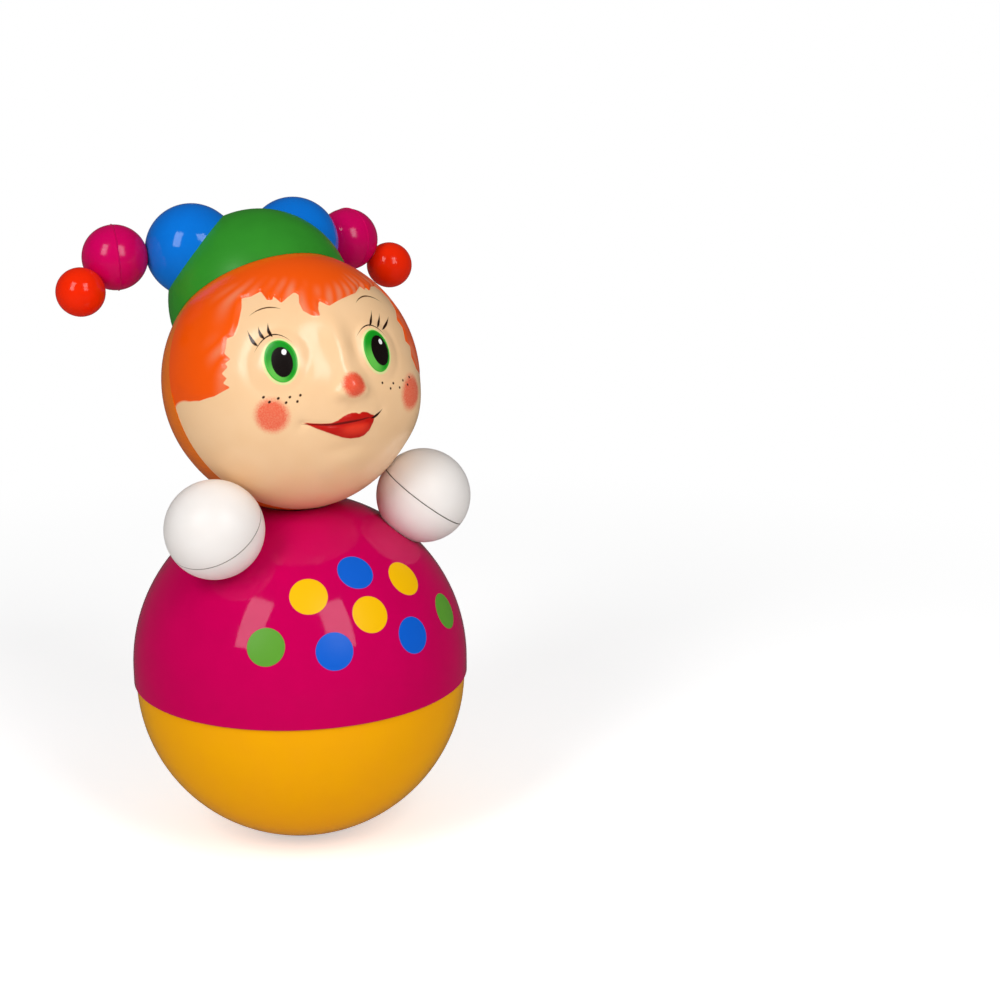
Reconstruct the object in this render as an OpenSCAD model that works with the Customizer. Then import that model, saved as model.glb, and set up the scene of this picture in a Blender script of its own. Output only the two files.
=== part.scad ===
// Roly-poly clown doll: a weighted round body with a chime inside, ball hands,
// a tilted head and a two-horned cap. Millimetres, +Z up, face towards -Y,
// origin at the centre of the small flat that the doll stands on.

/* [Body] */
// Outside diameter of the upper shell
body_d = 125; // [120:0.5:140]
// How far the upper shell stands proud of the lower one at the seam
skirt_step = 0.9; // [0.4:0.1:1.5]
// Height of the straight belt above the seam
belt_h = 5.4; // [5:0.2:12]
// Radius of the rounded lower edge of the belt
skirt_round = 0.5; // [0.2:0.1:0.8]
// Wall of both body shells
shell_wall = 2; // [1.6:0.1:2.6]
// Diameter of the flat that the doll stands on
foot_d = 12; // [6:0.5:16]
// Height of the lip that joins the two body shells
shell_lip_h = 5; // [3:0.5:6]
// Thickness of that lip
shell_lip_t = 2; // [1.6:0.1:3]

/* [Head] */
// Outside diameter of the head
head_d = 92.8; // [86:0.4:98]
// How deep the head sits in the dish of the body
head_sink = 3.4; // [2.5:0.1:5]
// How far the face looks up
head_tilt = 34.7; // [25:0.1:40]
// Wall of the head
head_wall = 2; // [1.6:0.1:2.6]
// Distance of the mask's edge behind the middle of the head
mask_edge = 1; // [0:0.5:6]
// How much less than the face the mask's edge leans back
mask_lean = 14; // [0:1:20]
// Length of the lip that joins the head halves
head_lip_h = 4; // [3:0.5:6]
// Thickness of that lip
head_lip_t = 1.5; // [1:0.1:2]
// Thickness of the hair at the sides
hair_t = 0.4; // [0.3:0.1:0.7]
// How far the hair is lifted towards the cap
hair_lift = 1.1; // [0.8:0.1:2.2]
// Radius of the nose tip
nose_r = 5.2; // [4:0.1:6]
// How far the nose stands out
nose_out = 3.4; // [2:0.1:4.5]
// Angle of the nose below the middle of the face
nose_down = 24; // [20:1:28]
// Radius of each nostril wing
wing_r = 2.8; // [2:0.1:3.2]
// How far the lips stand out
lip_out = 0.9; // [0.4:0.1:1.4]
// Radius of the lower edge of the smile
smile_r = 18.5; // [16:0.5:20]
// Radius of the upper edge of the smile
smile_top_r = 60; // [40:1:80]
// Distance of the upper lip below the middle of the face
mouth_drop = 28; // [26:0.5:30]
// Height of the lips in the middle
mouth_h = 7; // [5:0.5:8]

/* [Neck] */
// Diameter of the neck plug
neck_d = 12; // [9:0.5:14]
// Wall of the hollow neck plug
neck_wall = 2; // [1.5:0.1:3]
// Height of the boss in the head that the plug sits on
neck_boss_h = 12; // [8:0.5:15]
// Width of the plug's flange and of the ring beyond the plug
neck_flange = 3; // [2:0.2:4]
// Thickness of the plug's flange
neck_flange_h = 2; // [1.5:0.1:3]
// Length of the bush under the dish of the body
neck_bush_h = 8; // [5:0.5:10]
// Thickness of the neck ring
neck_ring_h = 1.5; // [1:0.1:2.5]

/* [Cap and horns] */
// Diameter of the cap's ball shape
cap_d = 68; // [66:0.5:74]
// Height of the cap's middle above the middle of the head
cap_rise = 35.4; // [34:0.2:40]
// Distance of the cap's middle behind the middle of the head
cap_back = 3.5; // [2:0.1:9]
// Wall of the cap
cap_wall = 2; // [1.5:0.1:2.6]
// Diameter of each horn dome
dome_d = 34.2; // [30:0.2:36]
// Elevation of the horn domes
dome_lean = 48; // [45:0.2:52]
// Height of the straight skirt below each dome
dome_skirt = 1.8; // [0.6:0.1:3]
// Wall of each horn dome
dome_wall = 1.8; // [1.4:0.1:2.4]
// Height of the ring that centres a dome on the cap
dome_ring_h = 2; // [1:0.2:3]
// Diameter of each large horn ball
ball_d = 23.8; // [21:0.1:26]
// How deep a ball is dished to sit on its dome
ball_sink = 0.8; // [0.4:0.1:1.2]
// Elevation of a ball as seen from its dome
ball_rise = 6.2; // [-6:0.2:10]
// Angle of a ball behind its dome
ball_back = 13.8; // [0:0.2:20]
// Diameter of each tip ball
tip_d = 17.7; // [16:0.1:20]
// How deep a tip is dished to sit on its ball
tip_sink = 1; // [0.5:0.1:1.4]
// Angle of a tip below its ball
tip_drop = 36.6; // [25:0.2:40]
// Angle of a tip behind its ball
tip_back = 5.5; // [0:0.5:20]
// Wall of the balls and tips
ball_wall = 1.6; // [1.2:0.1:2]
// Height of the raised seam on the large balls
ball_bead = 0.3; // [0.1:0.05:0.5]
// Diameter of the pegs between dome and ball
ball_peg_d = 5; // [4:0.2:6]
// Diameter of the pegs between ball and tip
tip_peg_d = 4; // [3:0.2:5]
// Length that a peg enters each side
peg_hold = 5; // [4:0.2:6]

/* [Hands] */
// Diameter of each hand
hand_d = 35.2; // [32:0.2:38]
// How deep a hand sits in its dish
hand_sink = 2.7; // [2:0.1:3.5]
// Angle of the hands round from the front
hand_turn = 64.5; // [55:0.5:75]
// Gap between a hand and the head
hand_gap = 0.7; // [0.6:0.1:3]
// Wall of the hands
hand_wall = 1.8; // [1.4:0.1:2.4]
// Depth of the seam groove round the hands
seam_groove = 0.6; // [0.2:0.05:0.65]
// Width of that groove
seam_groove_w = 0.4; // [0.2:0.05:0.6]
// Diameter of the hand pins
hand_pin_d = 6; // [4:0.2:7]
// Length of the socket in the hand
hand_socket_h = 8; // [6:0.5:10]
// Height of the pin's head
hand_pin_head_h = 1.5; // [1:0.1:2]
// Length of the boss in the body for the hand pin
hand_boss_h = 6; // [4:0.5:8]
// Thickness of the hand clips
hand_clip_h = 1.2; // [0.8:0.1:2]
// Width of the hand clips beyond the pin
hand_clip_w = 3; // [2:0.2:4]

/* [Ballast] */
// Height of the ballast weight
ballast_h = 20; // [16:0.5:24]
// Diameter of the post that holds the weight
post_d = 10; // [8:0.5:11]
// Diameter of the ballast washer
washer_d = 18; // [14:0.5:20]
// Thickness of the ballast washer
washer_h = 1.5; // [1:0.1:2]

/* [Chime] */
// Thickness of the chime base
chime_base_h = 5; // [4:0.2:7]
// Diameter of the opening in the chime base
chime_hole_d = 22; // [21:0.5:25]
// Diameter of the tone rods
rod_d = 3; // [2:0.1:4]
// Depth of the tone rods in the base
rod_seat = 4; // [2.5:0.1:4.5]
// Length of the shortest tone rod
rod_short = 36; // [34:0.5:40]
// How much longer each next rod is
rod_step = 3; // [1:0.1:3.2]
// Diameter of the striking ball
bob_d = 14; // [10:0.5:16]
// Swing of the hammer to each side
swing = 8; // [4:0.5:9]
// Gap left between ball and rod at the end of the swing
strike_gap = 0.4; // [0.3:0.1:2]
// Height of the bridge above the seam of the body
bridge_h = 35.4; // [33.4:0.5:39.4]
// Thickness of the bridge's strip
bridge_t = 2.5; // [2:0.1:3]
// Space between the rods and the bridge's legs
leg_gap = 8; // [5:0.5:9]
// Length of the bridge's feet
foot_len = 9; // [8:0.5:10]
// Thickness of the bridge's feet
foot_t = 2; // [1.6:0.1:3]
// Drop of the upper swing pin below the bridge
ear_drop = 5.5; // [5:0.1:7]
// Thickness of the bridge's ears
ear_t = 2; // [1.5:0.1:3]
// Distance between the two swing pins
link_len = 9; // [8.5:0.1:12]
// Width of the link
link_w = 6; // [5.4:0.1:7]
// Thickness of the link's cheeks
cheek_t = 1.8; // [1.4:0.1:2.4]
// Distance from the lower swing pin to the striking ball
hammer_len = 32; // [28:0.5:34]
// Diameter of the hammer rod
hammer_d = 2.6; // [2:0.1:2.8]
// Thickness of the hammer's eye
eye_t = 3; // [2.4:0.1:4]
// Diameter of the swing pins
pin_d = 2.4; // [2:0.1:2.8]

/* [Screws] */
// Diameter of the ballast screw
main_screw_d = 4; // [3:0.1:5]
// Length of the ballast screw
main_screw_len = 14; // [10:0.5:16]
// Diameter of the small screws
small_screw_d = 3; // [2.4:0.1:3.4]
// Length of the chime base screws
chime_screw_len = 12; // [9:0.5:13]
// Length of the bridge screws
bridge_screw_len = 6; // [5:0.2:6.4]
// Length of the horn screws
horn_screw_len = 12; // [8:0.5:13]
// Wall of the bosses and sockets that hold screws, pegs and pins
socket_wall = 1.6; // [1.2:0.1:2]

/* [Fits] */
// Glue gap between fixed pieces
fit_gap = 0.1; // [0.05:0.01:0.15]
// Radial gap of a pin, peg or screw that is fixed in its hole
press_gap = 0.03; // [0.02:0.01:0.05]
// Radial gap of a pin that turns in its hole
turn_gap = 0.08; // [0.05:0.01:0.1]
// Gap between pieces that turn against each other
seat_gap = 0.3; // [0.3:0.05:0.5]
// Height of the lips inside the small balls
lip_h = 1.4; // [1:0.1:1.8]

/* [Hidden] */
$fn = 72;
// How far a cut runs past the face that it opens
over = 1;
SIDES = ["left", "right"];
ROD_COUNT = 8;

function side_nodes(names) = [for (n = names, s = SIDES) str(s, "_", n)];

// Colours, as the doll shows them
magenta = "#C8005A";
yellow = "#FDAE00";
cream = "#F7DDB5";
orange = "#F25A08";
green = "#2E9030";
blue = "#0A74DA";
red = "#F02818";
white = "#FBF7F4";
iron = "#4A4A4C";
steel = "#B8BCC0";
ivory = "#E6E0D0";
beech = "#D8B080";

// Body, from the floor up
body_r = body_d / 2;
base_r = body_r - skirt_step;
foot_r = foot_d / 2;
seam_z = sqrt(base_r * base_r - foot_r * foot_r);
body_z = seam_z + belt_h;
shell_lip_r = body_r - shell_wall - fit_gap;
shell_floor = seam_z - (base_r - shell_wall);

// Head, with its own axes tilted back about X
head_r = head_d / 2;
head_z = body_z + body_r + head_r - head_sink;
hair_r = head_r + hair_t;
hair_c = [0, 0, hair_lift];
mask_lip_reach = max(mask_edge, head_lip_h - mask_edge);
mask_lip_r = sqrt(pow(head_r - head_wall, 2) - pow(mask_lip_reach, 2)) - fit_gap;
far = 2 * head_d;

// Outline of the hair on the mask, seen from the front in the head's own X and Z
fringe = [
    [-far, far], [-far, -3], [-46, -3], [-42, -8], [-37, -9], [-35, 1], [-34, 8], [-28, 16],
    [-25, 21], [-20, 16], [-13, 16.5], [-10.5, 11], [-9, 6], [-6, 6], [-4, 11], [0, 9],
    [8.5, 12.5], [16, 18], [21, 21], [24, 16], [30.5, 6], [34, -3], [37, -9], [42, -8],
    [46, -3], [far, -3], [far, far]
];

// Neck, on the body's axis
neck_r = neck_d / 2;
neck_out_r = neck_r + neck_flange;
dish_r = head_r + seat_gap;
dish_z = head_z - dish_r;
bush_z = dish_z - neck_bush_h;
neck_boss_z = head_z - head_r + neck_boss_h;
neck_ring_z = bush_z - seat_gap - neck_ring_h;
neck_end_z = neck_ring_z - neck_flange_h;

// Cap and horns, in the head's axes; s is 1 on the left and -1 on the right
cap_r = cap_d / 2;
dome_r = dome_d / 2;
ball_r = ball_d / 2;
tip_r = tip_d / 2;
ball_peg_r = ball_peg_d / 2;
tip_peg_r = tip_peg_d / 2;
cap_c = [0, cap_back, cap_rise];
dome_off = sqrt(cap_r * cap_r - dome_r * dome_r);
ball_reach = dome_r + ball_r - ball_sink;
tip_reach = ball_r + tip_r - tip_sink;
function outward(s, rise, back) = [s * cos(rise) * cos(back), sin(back), sin(rise) * cos(back)];
function dome_dir(s) = outward(s, dome_lean, 0);
function ball_dir(s) = outward(s, ball_rise, ball_back);
function tip_dir(s) = outward(s, -tip_drop, tip_back);
function seat_c(s) = cap_c + dome_off * dome_dir(s);
function dome_c(s) = seat_c(s) + dome_skirt * dome_dir(s);
function ball_c(s) = dome_c(s) + ball_reach * ball_dir(s);
function tip_c(s) = ball_c(s) + tip_reach * tip_dir(s);

// Hands, set round the body so that they clear the head by hand_gap
hand_r = hand_d / 2;
hand_pin_r = hand_pin_d / 2;
hand_reach = body_r + hand_r - hand_sink;
head_reach = head_z - body_z;
hand_clear = head_r + hand_r + hand_gap;
hand_cos = (pow(head_reach, 2) + pow(hand_reach, 2) - pow(hand_clear, 2)) / (2 * head_reach * hand_reach);
hand_rise = 90 - acos(hand_cos);
hand_boss_z = -(hand_r + seat_gap + hand_boss_h);
hand_clip_z = hand_boss_z - seat_gap - hand_clip_h;
hand_pin_end = hand_clip_z - hand_clip_h;
function hand_dir(s) = [
    s * sin(hand_turn) * cos(hand_rise), -cos(hand_turn) * cos(hand_rise), sin(hand_rise)
];
function hand_c(s) = [0, 0, body_z] + hand_reach * hand_dir(s);

// Screws, with their heads in proportion to the shank
main_screw_r = main_screw_d / 2;
small_screw_r = small_screw_d / 2;
screw_head = 1.9;
screw_head_share = 0.6;
screw_head_top = 0.8;
screw_slot_share = 0.4;
screw_slot_floor = 0.6;

// Ballast and chime, on the body's axis
post_r = post_d / 2;
ballast_top = shell_floor + ballast_h;
post_top = ballast_top - seat_gap;
rod_r = rod_d / 2;
bob_r = bob_d / 2;
hammer_r = hammer_d / 2;
pin_r = pin_d / 2;
chime_top = ballast_top + chime_base_h;
bar_z = seam_z + bridge_h;
link_z = bar_z - ear_drop;
hammer_z = link_z - link_len;
bob_z = hammer_z - hammer_len;
swing_reach = (link_z - bob_z) * sin(swing);
rod_far = swing_reach + bob_r + rod_r + strike_gap;
leg_y = rod_far + rod_r + leg_gap;
chime_rim = 2;
chime_base_r = leg_y + bridge_t + foot_len + chime_rim;
chime_screw_y = leg_y + bridge_t + foot_len / 2;
eye_r = link_w / 2;
fork_w = eye_t + 2 * (seat_gap + cheek_t);
bar_w = link_w + 2 * (seat_gap + ear_t);
rod_spots = [
    for (turn = [0:90:270], side = [-1, 1]) [
        rod_far * cos(turn) - side * swing_reach * sin(turn),
        rod_far * sin(turn) + side * swing_reach * cos(turn)
    ]
];

// Turns +Z to direction v
module aim(v) {
    rotate([0, acos(v.z / norm(v)), atan2(v.y, v.x)]) children();
}

// Places of the pieces
module in_head() {
    translate([0, 0, head_z]) rotate([-head_tilt, 0, 0]) children();
}
module at_seat(s) {
    in_head() translate(seat_c(s)) aim(dome_dir(s)) children();
}
module at_ball(s) {
    in_head() translate(ball_c(s)) aim(ball_dir(s)) children();
}
module at_tip(s) {
    in_head() translate(tip_c(s)) aim(tip_dir(s)) children();
}
module at_hand(s) {
    translate(hand_c(s)) aim(hand_dir(s)) children();
}

// Flat-sided space on the +Z side of height z
module above(z) {
    translate([-far, -far, z]) cube([2 * far, 2 * far, far]);
}

// Right half of the drawing plane, where turned profiles lie, from height y up
module profile_side(y = -far) {
    translate([0, y]) square([far, far + far]);
}

// Ring of a hollow ball, drawn as a profile
module ball_ring(r, wall) {
    difference() {
        circle(r);
        circle(r - wall);
    }
}

// Profile of a dome's wall, straight from height low to mid and round above it
module dome_shell(r, wall, low, mid) {
    intersection() {
        difference() {
            dome_outline(r, low, mid);
            dome_outline(r - wall, low, mid);
        }
        profile_side(low);
    }
}
module dome_outline(r, low, mid) {
    translate([0, mid]) circle(r);
    translate([0, low]) square([r, mid - low]);
}

// Lower half of a hollow ball, with the lip that joins it to the upper half
module lip_half(r, wall) {
    intersection() {
        ball_ring(r, wall);
        translate([0, -r]) square(r);
    }
    translate([r - wall - lip_h / 3, -lip_h]) square([lip_h / 3 + wall / 2 - fit_gap, 2 * lip_h]);
}

// Upper half of a hollow ball, rebated for the lip
module rebate_half(r, wall) {
    difference() {
        intersection() {
            ball_ring(r, wall);
            square(r);
        }
        square([r - wall / 2, lip_h + fit_gap]);
    }
}

// Small groove or bead where two ball halves meet
module seam_mark(r, depth, width) {
    translate([r, 0]) polygon([[-depth, 0], [0, -width / 2], [depth, 0], [0, width / 2]]);
}

// Plain peg with chamfered ends, lying along +Z between two heights
module peg(r, low, high) {
    chamfer = r / 4;
    translate([0, 0, low]) cylinder(r1 = r - chamfer, r2 = r, h = chamfer);
    translate([0, 0, low + chamfer]) cylinder(r = r, h = high - low - 2 * chamfer);
    translate([0, 0, high - chamfer]) cylinder(r1 = r, r2 = r - chamfer, h = chamfer);
}

// Slotted pan-head screw, head up from 0 and shank down
module pan_screw(r, len) {
    head_r_screw = screw_head * r;
    head_h = head_r_screw * screw_head_share;
    slot_w = screw_slot_share * r;
    difference() {
        union() {
            cylinder(r1 = head_r_screw, r2 = head_r_screw * screw_head_top, h = head_h);
            translate([0, 0, -len]) cylinder(r = r, h = len + head_h / 4);
        }
        translate([-head_r_screw, -slot_w / 2, head_h * screw_slot_floor])
            cube([2 * head_r_screw, slot_w, head_h]);
    }
}
module screw_hole(r, depth, gap) {
    translate([0, 0, -depth]) cylinder(r = r + gap, h = depth + over);
}

// Body shells
module lower_shell() {
    color(yellow) difference() {
        rotate_extrude() {
            intersection() {
                translate([0, seam_z]) ball_ring(base_r, shell_wall);
                square([base_r, seam_z]);
            }
            translate([shell_lip_r - shell_lip_t, seam_z - shell_lip_h])
                square([shell_lip_t, 2 * shell_lip_h]);
            translate([0, shell_wall / 2]) square([post_r, post_top - shell_wall / 2]);
        }
        translate([0, 0, post_top]) screw_hole(main_screw_r, main_screw_len, press_gap);
    }
}

module upper_shell_profile() {
    difference() {
        union() {
            dome_shell(body_r, shell_wall, seam_z, body_z);
            intersection() {
                union() {
                    translate([0, head_z]) circle(dish_r + shell_wall);
                    translate([0, bush_z]) square([neck_out_r, head_z - bush_z]);
                }
                translate([0, body_z]) circle(body_r - shell_wall / 2);
                profile_side();
            }
        }
        translate([0, head_z]) circle(dish_r);
        square([neck_r + turn_gap, head_z]);
        difference() {
            translate([body_r - skirt_round, seam_z]) square(skirt_round);
            translate([body_r - skirt_round, seam_z + skirt_round]) circle(skirt_round);
        }
    }
}

module upper_shell() {
    color(magenta) difference() {
        union() {
            rotate_extrude() upper_shell_profile();
            for (s = [1, -1]) intersection() {
                at_hand(s) rotate_extrude() intersection() {
                    union() {
                        circle(hand_r + seat_gap + shell_wall);
                        translate([0, hand_boss_z]) square([hand_pin_r + hand_clip_w, hand_r]);
                    }
                    profile_side();
                }
                translate([0, 0, body_z]) sphere(body_r - shell_wall / 2);
            }
        }
        for (s = [1, -1]) at_hand(s) {
            sphere(hand_r + seat_gap);
            translate([0, 0, -hand_reach]) cylinder(r = hand_pin_r + turn_gap, h = hand_reach);
        }
    }
}

// Ballast in the bottom of the body
module ballast_weight() {
    color(iron) difference() {
        rotate_extrude() intersection() {
            translate([0, seam_z]) circle(base_r - shell_wall - fit_gap);
            translate([post_r + fit_gap, 0]) square([base_r, ballast_top]);
        }
        chime_screw_spots() translate([0, 0, chime_top])
            screw_hole(small_screw_r, chime_screw_len, press_gap);
    }
}

module ballast_washer() {
    color(steel) translate([0, 0, ballast_top]) difference() {
        cylinder(d = washer_d, h = washer_h);
        translate([0, 0, washer_h]) screw_hole(main_screw_r, 2 * washer_h, fit_gap);
    }
}

module ballast_screw() {
    color(steel) translate([0, 0, ballast_top + washer_h]) pan_screw(main_screw_r, main_screw_len);
}

// Chime
module chime_screw_spots() {
    for (turn = [45:90:315]) rotate(turn) translate([chime_screw_y, 0, 0]) children();
}

module bridge_screw_spots() {
    for (turn = [90, 270]) rotate(turn) translate([chime_screw_y, 0, 0]) children();
}

module chime_base() {
    color(ivory) difference() {
        translate([0, 0, ballast_top]) cylinder(r = chime_base_r, h = chime_base_h);
        translate([0, 0, ballast_top - over]) cylinder(d = chime_hole_d, h = chime_base_h + 2 * over);
        for (spot = rod_spots) translate([spot.x, spot.y, chime_top])
            screw_hole(rod_r, rod_seat, press_gap);
        chime_screw_spots() translate([0, 0, chime_top])
            screw_hole(small_screw_r, chime_screw_len, press_gap);
        bridge_screw_spots() translate([0, 0, chime_top + foot_t])
            screw_hole(small_screw_r, bridge_screw_len, press_gap);
    }
}

module chime_screws() {
    color(steel) chime_screw_spots() translate([0, 0, chime_top]) pan_screw(small_screw_r, chime_screw_len);
}

module chime_rod(i) {
    spot = rod_spots[i - 1];
    rod_foot = chime_top - rod_seat;
    rod_top = rod_foot + rod_short + (i - 1) * rod_step;
    color(steel) translate([spot.x, spot.y, 0]) peg(rod_r, rod_foot, rod_top);
}

module hammer_bridge() {
    leg_out = leg_y + bridge_t;
    color(steel) difference() {
        union() {
            translate([-bar_w / 2, -leg_out, bar_z]) cube([bar_w, 2 * leg_out, bridge_t]);
            for (turn = [0, 180]) rotate(turn) {
                translate([-bar_w / 2, leg_y, chime_top])
                    cube([bar_w, bridge_t, bar_z - chime_top + bridge_t]);
                translate([-bar_w / 2, leg_y, chime_top]) cube([bar_w, bridge_t + foot_len, foot_t]);
                translate([link_w / 2 + seat_gap, 0, link_z]) {
                    rotate([0, 90, 0]) cylinder(r = eye_r, h = ear_t);
                    translate([0, -eye_r, 0]) cube([ear_t, 2 * eye_r, ear_drop + bridge_t / 2]);
                }
            }
        }
        translate([-bar_w, 0, link_z]) rotate([0, 90, 0]) cylinder(r = pin_r + press_gap, h = 2 * bar_w);
        bridge_screw_spots() translate([0, 0, chime_top + foot_t])
            screw_hole(small_screw_r, bridge_screw_len, fit_gap);
    }
}

module bridge_screws() {
    color(steel) bridge_screw_spots() translate([0, 0, chime_top + foot_t])
        pan_screw(small_screw_r, bridge_screw_len);
}

module link_pin() {
    half = bar_w / 2 + pin_r;
    color(steel) translate([0, 0, link_z]) rotate([0, 90, 0]) peg(pin_r, -half, half);
}

module hammer_link() {
    web_z = hammer_z + eye_r + seat_gap;
    color(ivory) difference() {
        union() {
            translate([-link_w / 2, 0, link_z]) rotate([0, 90, 0]) cylinder(r = eye_r, h = link_w);
            translate([-link_w / 2, -fork_w / 2, web_z]) cube([link_w, fork_w, link_z - web_z]);
            for (side = [-1, 1]) translate([0, side * (fork_w - cheek_t) / 2, hammer_z]) {
                rotate([90, 0, 0]) cylinder(r = link_w / 2, h = cheek_t, center = true);
                translate([-link_w / 2, -cheek_t / 2, 0])
                    cube([link_w, cheek_t, web_z - hammer_z + cheek_t / 2]);
            }
        }
        translate([-link_w, 0, link_z]) rotate([0, 90, 0]) cylinder(r = pin_r + turn_gap, h = 2 * link_w);
        translate([0, fork_w, hammer_z]) rotate([90, 0, 0])
            cylinder(r = pin_r + press_gap, h = 2 * fork_w);
    }
}

module hammer_pin() {
    half = fork_w / 2 + pin_r / 2;
    color(steel) translate([0, 0, hammer_z]) rotate([90, 0, 0]) peg(pin_r, -half, half);
}

module hammer_rod() {
    color(steel) difference() {
        union() {
            translate([0, 0, hammer_z]) rotate([90, 0, 0]) cylinder(r = eye_r, h = eye_t, center = true);
            translate([0, 0, bob_z]) cylinder(r = hammer_r, h = hammer_len - (eye_r + pin_r) / 2);
        }
        translate([0, eye_t, hammer_z]) rotate([90, 0, 0]) cylinder(r = pin_r + turn_gap, h = 2 * eye_t);
    }
}

module hammer_bob() {
    color(beech) translate([0, 0, bob_z]) difference() {
        sphere(bob_r);
        cylinder(r = hammer_r + press_gap, h = bob_r);
    }
}

// Head
module hair_ball() {
    translate(hair_c) rotate([90 + mask_lean, 0, 0]) sphere(hair_r);
}

// Ball of the head, with its pole square to the mask's edge
module head_ball(r) {
    rotate([90 + mask_lean, 0, 0]) sphere(r);
}

// Space in front of the mask's edge
module mask_side() {
    rotate([mask_lean, 0, 0]) translate([-far, mask_edge - 2 * far, -far]) cube(2 * far);
}

// Lip on the back of the head, which the mask slides over
module mask_lip() {
    rotate([mask_lean, 0, 0]) translate([0, mask_edge - head_lip_h, 0]) rotate([-90, 0, 0]) difference() {
        cylinder(r = mask_lip_r, h = 3 * head_lip_h);
        translate([0, 0, -over]) cylinder(r = mask_lip_r - head_lip_t, h = 3 * head_lip_h + 2 * over);
    }
}

module nose() {
    rotate([nose_down, 0, 0]) translate([0, -(head_r + nose_out), 0]) {
        translate([0, nose_r, 0]) sphere(nose_r);
        for (side = [-1, 1]) translate([side * nose_r, nose_r + wing_r / 2, -wing_r / 2]) sphere(wing_r);
    }
}

// Lips: a smile between two arcs, raised from the face
module lips() {
    intersection() {
        head_ball(head_r + lip_out);
        rotate([90, 0, 0]) linear_extrude(far) difference() {
            translate([0, smile_r - mouth_drop - mouth_h]) circle(smile_r);
            translate([0, smile_top_r - mouth_drop]) circle(smile_top_r);
        }
    }
}

module head_front() {
    color(cream) in_head() difference() {
        intersection() {
            union() {
                head_ball(head_r);
                intersection() {
                    hair_ball();
                    rotate([90, 0, 0]) translate([0, 0, -far]) linear_extrude(2 * far) polygon(fringe);
                }
                nose();
                lips();
            }
            mask_side();
        }
        head_ball(head_r - head_wall);
    }
}

module head_back() {
    color(orange) difference() {
        union() {
            in_head() difference() {
                union() {
                    head_ball(head_r);
                    hair_ball();
                }
                head_ball(head_r - head_wall);
                mask_side();
            }
            in_head() intersection() {
                mask_lip();
                head_ball(head_r - head_wall / 2);
            }
            intersection() {
                translate([0, 0, head_z - head_r]) cylinder(r = neck_out_r, h = neck_boss_h);
                translate([0, 0, head_z]) sphere(head_r - head_wall / 2);
            }
        }
        translate([0, 0, neck_boss_z - head_r]) cylinder(r = neck_r + press_gap, h = head_r + over);
    }
}

module neck_plug() {
    color(ivory) rotate_extrude() {
        translate([neck_r - neck_wall, neck_end_z]) square([neck_wall, neck_boss_z - neck_end_z]);
        translate([neck_r - neck_wall, neck_boss_z]) square([neck_wall + neck_flange, neck_flange_h]);
    }
}

module neck_ring() {
    color(steel) translate([0, 0, neck_ring_z]) difference() {
        cylinder(r = neck_out_r, h = neck_ring_h);
        translate([0, 0, -over]) cylinder(r = neck_r + press_gap, h = neck_ring_h + 2 * over);
    }
}

// Cap and horns
module cap_form(r, off) {
    difference() {
        translate(cap_c) aim(cap_c - hair_c) sphere(r);
        for (s = [1, -1]) translate(cap_c) aim(dome_dir(s)) above(off);
    }
}

module cap() {
    ring_r = dome_r - dome_wall - fit_gap;
    color(green) {
        difference() {
            union() {
                in_head() difference() {
                    cap_form(cap_r, dome_off);
                    cap_form(cap_r - cap_wall, dome_off - cap_wall);
                    translate(hair_c) aim(cap_c - hair_c) sphere(hair_r + fit_gap);
                }
                for (s = [1, -1]) at_seat(s) rotate_extrude()
                    translate([ring_r - socket_wall, -cap_wall / 2])
                        square([socket_wall, dome_ring_h + cap_wall / 2]);
            }
            for (s = [1, -1]) at_seat(s) translate([0, 0, -2 * cap_wall])
                cylinder(r = small_screw_r + fit_gap, h = 4 * cap_wall);
        }
    }
}

module horn_screws() {
    color(steel) for (s = [1, -1]) at_seat(s) translate([0, 0, -cap_wall]) rotate([180, 0, 0])
        pan_screw(small_screw_r, horn_screw_len);
}

module horn_dome(s) {
    color(blue) difference() {
        union() {
            at_seat(s) rotate_extrude() {
                dome_shell(dome_r, dome_wall, 0, dome_skirt);
                intersection() {
                    square([small_screw_r + socket_wall, dome_skirt + dome_r]);
                    translate([0, dome_skirt]) circle(dome_r - dome_wall / 2);
                }
            }
            in_head() translate(dome_c(s)) aim(ball_dir(s)) intersection() {
                translate([0, 0, dome_r - peg_hold]) cylinder(r = ball_peg_r + socket_wall, h = peg_hold);
                sphere(dome_r - dome_wall / 2);
            }
        }
        at_seat(s) translate([0, 0, -over])
            cylinder(r = small_screw_r + press_gap, h = horn_screw_len - cap_wall + over);
        in_head() translate(dome_c(s)) aim(ball_dir(s)) translate([0, 0, dome_r - peg_hold - over])
            cylinder(r = ball_peg_r + press_gap, h = 2 * peg_hold);
    }
}

module ball_peg(s) {
    color(ivory) in_head() translate(dome_c(s)) aim(ball_dir(s))
        peg(ball_peg_r, dome_r - peg_hold, dome_r + peg_hold);
}

// Socket for a peg, as a profile: from the seat at height low, up into a ball of radius r
module peg_socket(r, peg_r, low) {
    intersection() {
        translate([0, low]) square([peg_r + socket_wall, peg_hold]);
        circle(r - ball_wall / 2);
    }
}

module ball_inner(s) {
    color(magenta) at_ball(s) rotate_extrude() difference() {
        union() {
            lip_half(ball_r, ball_wall);
            peg_socket(ball_r, ball_peg_r, dome_r - ball_reach);
            intersection() {
                seam_mark(ball_r, ball_bead, 2 * ball_bead);
                translate([0, -ball_r]) square([2 * ball_r, ball_r]);
            }
        }
        translate([0, -ball_reach]) circle(dome_r + fit_gap);
        translate([0, -ball_reach]) square([ball_peg_r + press_gap, ball_reach]);
    }
}

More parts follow.
